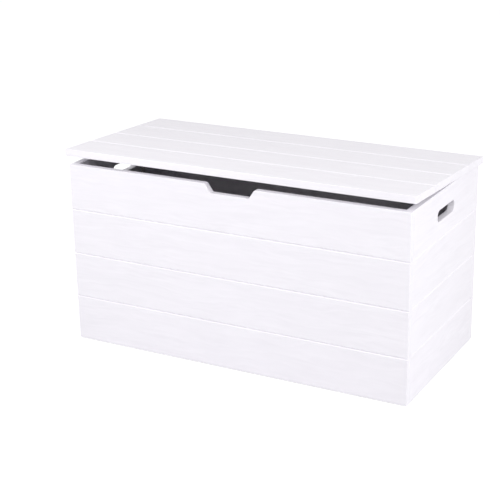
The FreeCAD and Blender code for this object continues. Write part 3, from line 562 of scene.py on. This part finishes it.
def raise_relief(tree, shader, height, distance):
    """Lets a height stand out of the surface."""
    bump = add(tree, "ShaderNodeBump", {"Height": height, "Distance": distance, "Strength": 1.0})
    tree.links.new(bump.outputs[0], shader.inputs["Normal"])


# Painted wood: how its patterns are turned, shifted from board to board and scaled, with scales per metre
GRAIN_TURNS = {"x": (0, 0, 0), "y": (0, 0, -math.pi / 2), "z": (0, math.pi / 2, 0)}
ROW_AXES = {"y": 1, "z": 2}
ROW_SHIFT = (3.7, 0.031, 0.017)
LOG_TILT = (0.0, 0.021, 0.013)
LOG_CENTRE = (0.0, 0.03, 0.05)
WARP_SCALE = (5.0, 16.0, 16.0)
WARP_REACH = 0.040
RING_SCALE = 19.0
RING_DISTORTION = 3.0
STREAK_SCALE = (14.0, 150.0, 150.0)
CLOUD_SCALE = (7.0, 40.0, 40.0)
FIBRE_SCALE = (40.0, 900.0, 900.0)
# Patches in which streaks swing about their mean by a lesser or a greater share
FADE_SCALE = (6.0, 22.0, 22.0)
FADE_SPAN = (0.35, 0.65)
FADE_SHARES = (0.15, 1.7)
NOISE_MEAN = 0.5
# What each pattern adds to the relief and to the tone
RING_SHARE = 0.12
STREAK_SHARE = 0.58
FIBRE_SHARE = 0.3
TONE_STREAK_SHARE = 0.45
TONE_CLOUD_SHARE = 0.45
TONE_RING_SHARE = 0.10
# Gloss of the paint, between its streaks and on them
PAINT_ROUGHNESS = (0.40, 0.54)


def grain_place(tree, along, row_axis, row_start, row_pitch):
    """Object coordinates turned so that the grain runs along X, and shifted for each row of boards."""
    place = add(tree, "ShaderNodeTexCoord").outputs["Object"]
    turned = add(tree, "ShaderNodeMapping", {"Vector": place, "Rotation": GRAIN_TURNS[along]}).outputs[0]
    if row_axis is None:
        return turned
    across = add(tree, "ShaderNodeSeparateXYZ", {0: place}).outputs[ROW_AXES[row_axis]]
    from_start = math_node(tree, "SUBTRACT", across, row_start)
    row = math_node(tree, "FLOOR", math_node(tree, "DIVIDE", from_start, row_pitch), 0)
    shift = add(tree, "ShaderNodeVectorMath", {0: ROW_SHIFT, 3: row}, operation="SCALE").outputs[0]
    return add(tree, "ShaderNodeVectorMath", {0: turned, 1: shift}, operation="ADD").outputs[0]


def stretched_noise(tree, place, scale, detail, output="Fac"):
    """Noise with its own scale along each axis."""
    stretched = add(tree, "ShaderNodeMapping", {"Vector": place, "Scale": scale}).outputs[0]
    noise = add(tree, "ShaderNodeTexNoise", {"Vector": stretched, "Scale": 1.0, "Detail": detail})
    return noise.outputs[output]


def wandering(tree, place):
    """Grain coordinates bent by a slow warp, as the grain of a log wanders."""
    warp = stretched_noise(tree, place, WARP_SCALE, COARSE_DETAIL, "Color")
    bend = add(tree, "ShaderNodeVectorMath", {0: warp, 3: WARP_REACH}, operation="SCALE").outputs[0]
    return add(tree, "ShaderNodeVectorMath", {0: place, 1: bend}, operation="ADD").outputs[0]


def patchy_streaks(tree, bent):
    """Streaks of hard grain that stand out in some patches and fade in others."""
    streaks = stretched_noise(tree, bent, STREAK_SCALE, FINE_DETAIL)
    patches = stretched_noise(tree, bent, FADE_SCALE, COARSE_DETAIL)
    fade = carried(tree, patches, FADE_SHARES, FADE_SPAN)
    swing = math_node(tree, "SUBTRACT", streaks, NOISE_MEAN)
    return math_node(tree, "ADD", math_node(tree, "MULTIPLY", swing, fade), NOISE_MEAN)


def growth_rings(tree, bent):
    """Rings of a log that runs nearly along the grain."""
    log = add(tree, "ShaderNodeMapping", {"Vector": bent, "Location": LOG_CENTRE, "Rotation": LOG_TILT})
    return add(
        tree, "ShaderNodeTexWave",
        {
            "Vector": log.outputs[0],
            "Scale": RING_SCALE,
            "Distortion": RING_DISTORTION,
            "Detail": COARSE_DETAIL,
        },
        wave_type="RINGS", rings_direction="X", wave_profile="SAW",
    ).outputs["Fac"]


def painted_wood(name, along, row_axis=None, row_start=0.0, row_pitch=1.0):
    """Satin white paint over solid wood: rings, streaks and fibres show as low relief and faint tone."""
    finish = bpy.context.scene.chest_finish
    material, tree, shader = new_material(name)
    place = grain_place(tree, along, row_axis, row_start, row_pitch)
    bent = wandering(tree, place)
    rings = growth_rings(tree, bent)
    streaks = patchy_streaks(tree, bent)
    clouds = stretched_noise(tree, bent, CLOUD_SCALE, COARSE_DETAIL)
    fibres = stretched_noise(tree, place, FIBRE_SCALE, COARSE_DETAIL)
    relief = weighed(tree, [(rings, RING_SHARE), (streaks, STREAK_SHARE), (fibres, FIBRE_SHARE)])
    raise_relief(tree, shader, relief, finish.grain_relief)
    tone = weighed(
        tree, [(streaks, TONE_STREAK_SHARE), (clouds, TONE_CLOUD_SHARE), (rings, TONE_RING_SHARE)]
    )
    colour = ramp(tree, tone, finish.paint_colour, finish.paint_shade_colour)
    tree.links.new(colour, shader.inputs["Base Color"])
    rough(tree, shader, streaks, PAINT_ROUGHNESS)
    return material


ROLLER_SCALE = (420.0, 420.0, 420.0)
PATCH_SCALE = (9.0, 9.0, 9.0)
ROLLER_ROUGHNESS = (0.48, 0.60)


def rolled_panel(name):
    """White paint rolled on a smooth panel, with a fine even stipple."""
    finish = bpy.context.scene.chest_finish
    material, tree, shader = new_material(name)
    place = add(tree, "ShaderNodeTexCoord").outputs["Object"]
    stipple = stretched_noise(tree, place, ROLLER_SCALE, COARSE_DETAIL)
    patches = stretched_noise(tree, place, PATCH_SCALE, FINE_DETAIL)
    raise_relief(tree, shader, stipple, finish.roller_relief)
    colour = ramp(tree, patches, finish.paint_colour, finish.paint_shade_colour)
    tree.links.new(colour, shader.inputs["Base Color"])
    rough(tree, shader, stipple, ROLLER_ROUGHNESS)
    return material


PLATE_SCALE = (260.0, 260.0, 260.0)
SCRATCH_SCALE = (40.0, 1400.0, 1400.0)
PLATE_ROUGHNESS = (0.24, 0.42)
PLATE_DARK_SHARE = 0.86
SCRATCH_RELIEF = 0.00002


def darker(colour, share):
    """A colour at a share of its brightness."""
    return [channel * share for channel in colour[:3]] + [1.0]


def plated_steel(name, colour):
    """Plated steel with faint drawn lines and a cloudy gloss."""
    material, tree, shader = new_material(name)
    place = add(tree, "ShaderNodeTexCoord").outputs["Object"]
    clouds = stretched_noise(tree, place, PLATE_SCALE, FINE_DETAIL)
    lines = stretched_noise(tree, place, SCRATCH_SCALE, COARSE_DETAIL)
    tint = ramp(tree, clouds, darker(colour, PLATE_DARK_SHARE), colour)
    tree.links.new(tint, shader.inputs["Base Color"])
    rough(tree, shader, clouds, PLATE_ROUGHNESS)
    raise_relief(tree, shader, lines, SCRATCH_RELIEF)
    shader.inputs["Metallic"].default_value = 1.0
    return material


GLIDE_SCALE = (400.0, 400.0, 400.0)
GLIDE_ROUGHNESS = (0.45, 0.62)
GLIDE_RELIEF = 0.00004
GLIDE_DARK_SHARE = 0.9


def moulded_plastic(name, colour):
    """Moulded plastic with a fine matt grain."""
    material, tree, shader = new_material(name)
    place = add(tree, "ShaderNodeTexCoord").outputs["Object"]
    grain = stretched_noise(tree, place, GLIDE_SCALE, FINE_DETAIL)
    tint = ramp(tree, grain, darker(colour, GLIDE_DARK_SHARE), colour)
    tree.links.new(tint, shader.inputs["Base Color"])
    rough(tree, shader, grain, GLIDE_ROUGHNESS)
    raise_relief(tree, shader, grain, GLIDE_RELIEF)
    return material


def dress(names, material):
    """Gives CAD nodes a material."""
    for name in names:
        for slot in frame["nodes"][name].material_slots:
            slot.material = material


def named(start="", end=""):
    """CAD nodes by how their names start and end."""
    return [name for name in frame["nodes"] if name.startswith(start) and name.endswith(end)]


# Operators


class CHEST_OT_wall_boards(bpy.types.Operator):
    """Build the sixteen wall boards, with the finger notch, the hand slots and the hinge mortises"""

    bl_idname = "chest.wall_boards"
    bl_label = "Wall boards"

    def execute(self, context):
        sizes = context.scene.chest_boards
        long_paint = painted_wood("paint_long_walls", "x", "z", WALL_FOOT, WALL_FACE)
        short_paint = painted_wood("paint_short_walls", "y", "z", WALL_FOOT, WALL_FACE)
        paints = {"front": long_paint, "back": long_paint, "right": short_paint, "left": short_paint}
        for wall, turn in WALL_TURNS.items():
            for row in ROWS:
                shape = self.shape_board(sizes, wall, row)
                place = Vector((0, -WALL_OFFSETS[wall], WALL_FOOT + WALL_FACE * (row - 1)))
                seat = Matrix.Rotation(turn, 4, "Z") @ Matrix.Translation(place)
                bmesh.ops.transform(shape, matrix=seat, verts=shape.verts)
                if wall == "back" and row == ROWS[-1]:
                    shape = self.let_in_hinges(sizes, shape)
                node = f"{wall}_board_{row}"
                add_piece(f"painted_{node}", shape, paints[wall], node)
        return {"FINISHED"}

    def shape_board(self, sizes, wall, row):
        """Planes one board, cuts its notch or slot and eases its edges."""
        shape = planed_board(sizes, WALL_LENGTHS[wall], WALL_FACE, BOARD_THICKNESS, row)
        is_side = wall in ("left", "right")
        is_top = row == ROWS[-1]
        if is_top and wall == "front":
            shape = carve(shape, finger_notch(sizes))
        arris = sizes.side_arris if is_side else sizes.arris
        ease_arrises(shape, sizes, WALL_FACE, BOARD_THICKNESS, row, arris)
        if is_top and is_side:
            shape = carve(shape, hand_slot(sizes))
            ease_slot_rims(shape, sizes)
        return shape

    def let_in_hinges(self, sizes, shape):
        """Cuts the mortises of the wall leaves."""
        foot = WALL_TOP - sizes.leaf_thickness
        for leaf in named("hinge_", "_wall_leaf"):
            low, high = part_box(leaf)
            shape = carve(shape, leaf_mortise(sizes, low, high, foot, WALL_TOP + OVERRUN))
        return shape


class CHEST_OT_lid_boards(bpy.types.Operator):
    """Build the four lid boards, with the hinge mortises in the last one"""

    bl_idname = "chest.lid_boards"
    bl_label = "Lid boards"

    def execute(self, context):
        sizes = context.scene.chest_boards
        paint = painted_wood("paint_lid", "x", "y", LID_LOW.y, LID_FACE)
        for row in ROWS:
            shape = planed_board(sizes, LID_LENGTH, LID_FACE, LID_THICKNESS, row)
            self.round_lid_corners(shape, sizes, row)
            ease_arrises(shape, sizes, LID_FACE, LID_THICKNESS, row, sizes.arris)
            place = Vector((0, LID_LOW.y + LID_FACE * (row - 1), LID_HIGH.z))
            seat = Matrix.Translation(place) @ Matrix.Rotation(-math.pi / 2, 4, "X")
            bmesh.ops.transform(shape, matrix=seat, verts=shape.verts)
            if row == ROWS[-1]:
                shape = self.let_in_hinges(sizes, shape)
            bmesh.ops.transform(shape, matrix=about_hinge(AJAR_ANGLE), verts=shape.verts)
            node = f"lid_board_{row}"
            add_piece(f"painted_{node}", shape, paint, node)
        return {"FINISHED"}

    def let_in_hinges(self, sizes, shape):
        """Cuts the mortises of the lid leaves, with the lid shut."""
        top = LID_LOW.z + sizes.leaf_thickness
        for leaf in named("hinge_", "_lid_leaf"):
            low, high = shut_box(leaf)
            shape = carve(shape, leaf_mortise(sizes, low, high, LID_LOW.z - OVERRUN, top))
        return shape

    def round_lid_corners(self, shape, sizes, row):
        """Rounds the corners of the lid that a board holds, seen from above."""
        outer = {ROWS[0]: 0.0, ROWS[-1]: LID_FACE}
        if row not in outer:
            return
        play = sizes.tongue_clearance

        def is_corner(edge):
            ends = [vertex.co for vertex in edge.verts]
            through = abs(ends[0].y - ends[1].y) > LID_THICKNESS / 2
            return through and all(abs(end.z - outer[row]) < play for end in ends)

        ease(shape, [edge for edge in shape.edges if is_corner(edge)], sizes.lid_corner, CORNER_SEGMENTS)


class CHEST_OT_frame(bpy.types.Operator):
    """Paint the corner posts, the floor cleats and the floor panel"""

    bl_idname = "chest.frame"
    bl_label = "Posts and floor"

    def execute(self, context):
        dress(named("corner_post"), painted_wood("paint_posts", "z"))
        dress(["floor_cleat_front", "floor_cleat_back"], painted_wood("paint_long_cleats", "x"))
        dress(["floor_cleat_left", "floor_cleat_right"], painted_wood("paint_short_cleats", "y"))
        dress(["floor_panel"], rolled_panel("paint_panel"))
        return {"FINISHED"}


class CHEST_OT_battens(bpy.types.Operator):
    """Ease and paint the battens under the lid"""

    bl_idname = "chest.battens"
    bl_label = "Battens"

    def execute(self, context):
        arris = context.scene.chest_boards.batten_arris
        paint = painted_wood("paint_battens", "y")
        for node in named("lid_batten"):
            add_piece(f"eased_{node}", eased_batten(node, arris), paint, node)
        return {"FINISHED"}


class CHEST_OT_hinges(bpy.types.Operator):
    """Plate the hinges"""

    bl_idname = "chest.hinges"
    bl_label = "Hinges"

    def execute(self, context):
        dress(named("hinge_"), plated_steel("hinge_plate", context.scene.chest_finish.hinge_colour))
        return {"FINISHED"}


class CHEST_OT_stays(bpy.types.Operator):
    """Plate the lid stays"""

    bl_idname = "chest.stays"
    bl_label = "Lid stays"

    def execute(self, context):
        dress(named("stay_"), plated_steel("stay_plate", context.scene.chest_finish.stay_colour))
        return {"FINISHED"}


class CHEST_OT_screws(bpy.types.Operator):
    """Plate the screws"""

    bl_idname = "chest.screws"
    bl_label = "Screws"

    def execute(self, context):
        dress(named(end="_screws"), plated_steel("screw_plate", context.scene.chest_finish.screw_colour))
        return {"FINISHED"}


class CHEST_OT_glides(bpy.types.Operator):
    """Colour the floor glides"""

    bl_idname = "chest.glides"
    bl_label = "Glides"

    def execute(self, context):
        dress(["floor_glides"], moulded_plastic("glide_plastic", context.scene.chest_finish.glide_colour))
        return {"FINISHED"}


# The camera, at the photograph's viewing angle, for a square image
CAMERA_PLACE = (1.4345, -2.7263, 1.3326)
CAMERA_AZIMUTH = math.radians(28.8347)
CAMERA_ELEVATION = math.radians(19.5254)
CAMERA_ROLL = math.radians(-1.0259)
CAMERA_LENS_MM = 94.337
CAMERA_SENSOR_MM = 36.0

# Lamps, all turned towards a point in the chest
RIGHT_LAMP_PLACE = Vector((3.0, -1.15, 2.0))
FRONT_LAMP_PLACE = Vector((-0.7, -1.55, 1.5))
# The fill lamps stand so low that they leave the top of the shut lid as it is
BACK_LAMP_PLACE = Vector((-0.2, 3.4, 0.2))
LEFT_LAMP_PLACE = Vector((-3.4, 0.4, 0.2))
LAMP_AIM = Vector((0.0, 0.0, 0.3))

FLOOR_SIDES = 96
FLOOR_ROUGHNESS = 0.9
WHITE = (1, 1, 1, 1)


class CHEST_OT_studio(bpy.types.Operator):
    """Lay the floor, hang the light and set the camera"""

    bl_idname = "chest.studio"
    bl_label = "Studio"

    def execute(self, context):
        studio = context.scene.chest_studio
        self.lay_floor(studio)
        self.light_sky(studio)
        self.hang_lamp("right_lamp", RIGHT_LAMP_PLACE, studio.right_power, studio.right_size)
        self.hang_lamp("front_lamp", FRONT_LAMP_PLACE, studio.front_power, studio.front_size)
        self.hang_lamp("back_lamp", BACK_LAMP_PLACE, studio.fill_power, studio.fill_size)
        self.hang_lamp("left_lamp", LEFT_LAMP_PLACE, studio.fill_power, studio.fill_size)
        self.set_camera()
        context.scene.view_settings.view_transform = "Standard"
        return {"FINISHED"}

    def lay_floor(self, studio):
        """A round pale floor that glows towards white and keeps the chest's shadow."""
        shape = bmesh.new()
        bmesh.ops.create_circle(shape, cap_ends=True, segments=FLOOR_SIDES, radius=studio.floor_radius)
        mesh = bpy.data.meshes.new("studio_floor")
        shape.to_mesh(mesh)
        shape.free()
        floor = bpy.data.objects.new("studio_floor", mesh)
        bpy.context.collection.objects.link(floor)
        material, tree, shader = new_material("floor_paper")
        shader.inputs["Base Color"].default_value = studio.floor_colour
        shader.inputs["Roughness"].default_value = FLOOR_ROUGHNESS
        shader.inputs["Specular IOR Level"].default_value = 0.0
        shader.inputs["Emission Color"].default_value = WHITE
        glow = math_node(tree, "MULTIPLY", seen_rays(tree), studio.floor_lift)
        tree.links.new(glow, shader.inputs["Emission Strength"])
        mesh.materials.append(material)

    def light_sky(self, studio):
        """Even light from all round, white where it is seen."""
        world = bpy.data.worlds.new("studio_sky")
        bpy.context.scene.world = world
        world.use_nodes = True
        tree = world.node_tree
        background = tree.nodes["Background"]
        background.inputs["Color"].default_value = WHITE
        strength = carried(tree, seen_rays(tree), (studio.sky_strength, 1.0))
        tree.links.new(strength, background.inputs["Strength"])

    def hang_lamp(self, name, place, power, size):
        """A square lamp at a place, turned towards the chest."""
        lamp = bpy.data.lights.new(name, "AREA")
        lamp.energy = power
        lamp.size = size
        holder = bpy.data.objects.new(name, lamp)
        holder.location = place
        holder.rotation_euler = (place - LAMP_AIM).to_track_quat("Z", "Y").to_euler()
        bpy.context.collection.objects.link(holder)

    def set_camera(self):
        """A camera at its place, turned by azimuth, elevation and roll."""
        camera = bpy.data.cameras.new("camera")
        camera.lens = CAMERA_LENS_MM
        camera.sensor_width = CAMERA_SENSOR_MM
        holder = bpy.data.objects.new("camera", camera)
        turn = Matrix.Rotation(CAMERA_AZIMUTH, 4, "Z")
        turn @= Matrix.Rotation(math.pi / 2 - CAMERA_ELEVATION, 4, "X")
        turn @= Matrix.Rotation(CAMERA_ROLL, 4, "Z")
        holder.matrix_world = Matrix.Translation(CAMERA_PLACE) @ turn
        bpy.context.collection.objects.link(holder)
        bpy.context.scene.camera = holder


def seen_rays(tree):
    """1 for rays from the camera, from gloss and through glass, and 0 for the light itself."""
    path = add(tree, "ShaderNodeLightPath").outputs
    seen = math_node(tree, "MAXIMUM", path["Is Camera Ray"], path["Is Glossy Ray"])
    return math_node(tree, "MAXIMUM", seen, path["Is Transmission Ray"])


class CHEST_PT_panel(bpy.types.Panel):
    """The chest's steps"""

    bl_idname = "CHEST_PT_panel"
    bl_label = "Plank chest"
    bl_space_type = "VIEW_3D"
    bl_region_type = "UI"
    bl_category = "Chest"

    def draw(self, context):
        for step in STEPS:
            self.layout.operator(step.bl_idname)


STEPS = (
    CHEST_OT_wall_boards,
    CHEST_OT_lid_boards,
    CHEST_OT_frame,
    CHEST_OT_battens,
    CHEST_OT_hinges,
    CHEST_OT_stays,
    CHEST_OT_screws,
    CHEST_OT_glides,
    CHEST_OT_studio,
)
GROUPS = {"chest_boards": ChestBoards, "chest_finish": ChestFinish, "chest_studio": ChestStudio}
CLASSES = tuple(GROUPS.values()) + STEPS + (CHEST_PT_panel,)


def register():
    for each in CLASSES:
        bpy.utils.register_class(each)
    for name, group in GROUPS.items():
        setattr(bpy.types.Scene, name, bpy.props.PointerProperty(type=group))


def unregister():
    for name in GROUPS:
        delattr(bpy.types.Scene, name)
    for each in reversed(CLASSES):
        bpy.utils.unregister_class(each)


def main():
    register()
    bpy.ops.chest.wall_boards()
    bpy.ops.chest.lid_boards()
    bpy.ops.chest.frame()
    bpy.ops.chest.battens()
    bpy.ops.chest.hinges()
    bpy.ops.chest.stays()
    bpy.ops.chest.screws()
    bpy.ops.chest.glides()
    bpy.ops.chest.studio()


if __name__ == "__main__":
    main()
